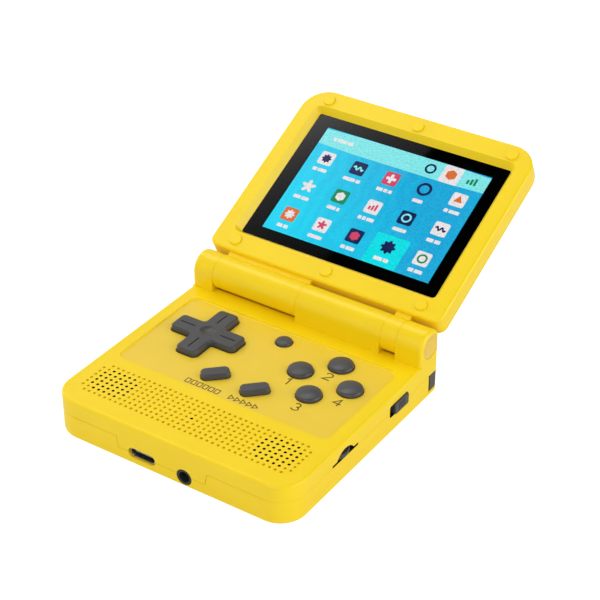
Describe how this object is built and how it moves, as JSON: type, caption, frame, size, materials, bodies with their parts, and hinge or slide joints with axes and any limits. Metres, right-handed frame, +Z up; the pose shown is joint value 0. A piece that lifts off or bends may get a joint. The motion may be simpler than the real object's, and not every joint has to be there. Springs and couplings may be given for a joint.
{
  "type": "clamshell handheld game console",
  "caption": "Handheld game console with a hinged lid: screen in the lid, direction pad, round buttons and speaker grille on the base, ports in front, wheel and slide switch at the side.",
  "frame": {"origin": "centre of the base's underside", "axes": "+Z up from the underside, +Y towards the hinge at the back, +X to the player's right"},
  "size_m": [0.0853, 0.143, 0.0545],
  "materials": {
    "yellow_plastic": "satin injection-moulded plastic, bright yellow",
    "panel_plastic": "translucent matt inlay over yellow",
    "button_plastic": "satin charcoal plastic",
    "black_plastic": "matt black plastic",
    "white_plastic": "white diffuser film",
    "print_ink": "brown-grey pad-printed marks",
    "black_mask": "black border printed under the glass",
    "lit_picture": "lit colour display",
    "lens_glass": "clear cover glass",
    "steel": "plated steel",
    "gold_contact": "gold-plated spring contact",
    "circuit_board": "green solder resist",
    "battery_wrap": "plain film wrap",
    "pad_rubber": "silicone rubber",
    "flex_film": "amber polyimide film"
  },
  "bodies": {
    "base": {"base_top_shell": "yellow_plastic", "hinge_knuckles": "yellow_plastic", "base_bottom_shell": "yellow_plastic", "control_panel": "panel_plastic", "battery_cover": "yellow_plastic", "battery_cover_screw": "steel", "case_screws": "steel", "board_screws": "steel", "main_board": "circuit_board", "board_chips": "black_plastic", "battery": "battery_wrap", "battery_contacts": "gold_contact", "speaker_left": "black_plastic", "speaker_right": "black_plastic", "usb_socket": "steel", "headphone_socket": "black_plastic", "card_reader": "steel", "volume_control_body": "black_plastic", "power_switch_body": "steel", "action_pad": "pad_rubber", "option_pad": "pad_rubber", "menu_pad": "pad_rubber", "dpad_pad": "pad_rubber", "shoulder_pins": "steel", "shoulder_switches": "black_plastic", "shoulder_spring_left": "steel", "shoulder_spring_right": "steel", "hinge_bush": "steel", "hinge_cartridge": "steel", "hinge_spring": "steel", "hinge_end_caps": "yellow_plastic", "display_flex_lower": "flex_film"},
    "lid": {"lid_front_frame": "yellow_plastic", "lid_back_shell": "yellow_plastic", "lid_screws": "steel", "lid_bumpers": "yellow_plastic", "screen_lens": "lens_glass", "lens_gasket": "black_mask", "display_panel": "lit_picture", "display_backlight": "white_plastic", "display_bracket": "steel", "display_flex_upper": "flex_film", "hinge_shaft": "steel"},
    "memory_card": {"memory_card": "black_plastic"},
    "volume_wheel": {"volume_wheel": "button_plastic"},
    "power_knob": {"power_switch_knob": "button_plastic"},
    "dpad_rocker": {"dpad_pivot": "button_plastic"},
    "dpad": {"dpad_cross": "button_plastic"},
    "button_left": {"action_button_left": "button_plastic"},
    "button_top": {"action_button_top": "button_plastic"},
    "button_right": {"action_button_right": "button_plastic"},
    "button_bottom": {"action_button_bottom": "button_plastic"},
    "menu_key": {"menu_button": "button_plastic"},
    "select_key": {"select_button": "button_plastic"},
    "start_key": {"start_button": "button_plastic"},
    "shoulder_left": {"shoulder_button_left": "button_plastic"},
    "shoulder_right": {"shoulder_button_right": "button_plastic"}
  },
  "joints": [
    {"name": "lid_hinge", "type": "hinge", "parent": "base", "child": "lid", "pos_m": [0, 0.03485, 0.0184], "axis": [1, 0, 0], "range_deg": [0, 154]},
    {"name": "dpad_up_down", "type": "hinge", "parent": "base", "child": "dpad_rocker", "pos_m": [-0.0212, 0.0092, 0.01056], "axis": [1, 0, 0], "range_deg": [-3, 3], "stiffness_Nm_per_rad": 0.2},
    {"name": "dpad_left_right", "type": "hinge", "parent": "dpad_rocker", "child": "dpad", "pos_m": [-0.0212, 0.0092, 0.01056], "axis": [0, 1, 0], "range_deg": [-3, 3], "stiffness_Nm_per_rad": 0.2},
    {"name": "press_left", "type": "slide", "parent": "base", "child": "button_left", "axis": [0, 0, -1], "range_m": [0, 0.0009], "stiffness_N_per_m": 300, "springref_m": -0.0008, "deforming": ["action_pad"]},
    {"name": "press_top", "type": "slide", "parent": "base", "child": "button_top", "axis": [0, 0, -1], "range_m": [0, 0.0009], "stiffness_N_per_m": 300, "springref_m": -0.0008, "deforming": ["action_pad"]},
    {"name": "press_right", "type": "slide", "parent": "base", "child": "button_right", "axis": [0, 0, -1], "range_m": [0, 0.0009], "stiffness_N_per_m": 300, "springref_m": -0.0008, "deforming": ["action_pad"]},
    {"name": "press_bottom", "type": "slide", "parent": "base", "child": "button_bottom", "axis": [0, 0, -1], "range_m": [0, 0.0009], "stiffness_N_per_m": 300, "springref_m": -0.0008, "deforming": ["action_pad"]},
    {"name": "press_menu", "type": "slide", "parent": "base", "child": "menu_key", "axis": [0, 0, -1], "range_m": [0, 0.0009], "stiffness_N_per_m": 300, "springref_m": -0.0008, "deforming": ["menu_pad"]},
    {"name": "press_select", "type": "slide", "parent": "base", "child": "select_key", "axis": [0, 0, -1], "range_m": [0, 0.0009], "stiffness_N_per_m": 300, "springref_m": -0.0008, "deforming": ["option_pad"]},
    {"name": "press_start", "type": "slide", "parent": "base", "child": "start_key", "axis": [0, 0, -1], "range_m": [0, 0.0009], "stiffness_N_per_m": 300, "springref_m": -0.0008, "deforming": ["option_pad"]},
    {"name": "shoulder_left_press", "type": "hinge", "parent": "base", "child": "shoulder_left", "pos_m": [-0.0284, 0.03725, 0.0049], "axis": [0, 0, 1], "range_deg": [0, 2.2], "stiffness_Nm_per_rad": 0.1, "springref_deg": -2.86},
    {"name": "shoulder_right_press", "type": "hinge", "parent": "base", "child": "shoulder_right", "pos_m": [0.0284, 0.03725, 0.0049], "axis": [0, 0, 1], "range_deg": [-2.2, 0], "stiffness_Nm_per_rad": 0.1, "springref_deg": 2.86},
    {"name": "power_slide", "type": "slide", "parent": "base", "child": "power_knob", "axis": [0, -1, 0], "range_m": [0, 0.0022]},
    {"name": "volume_turn", "type": "hinge", "parent": "base", "child": "volume_wheel", "pos_m": [0.0361, -0.01185, 0.0087], "axis": [0, 0, 1], "range_deg": [-140, 140]},
    {"name": "card_eject", "type": "slide", "parent": "base", "child": "memory_card", "axis": [-1, 0, 0], "range_m": [0, 0.016]}
  ]
}
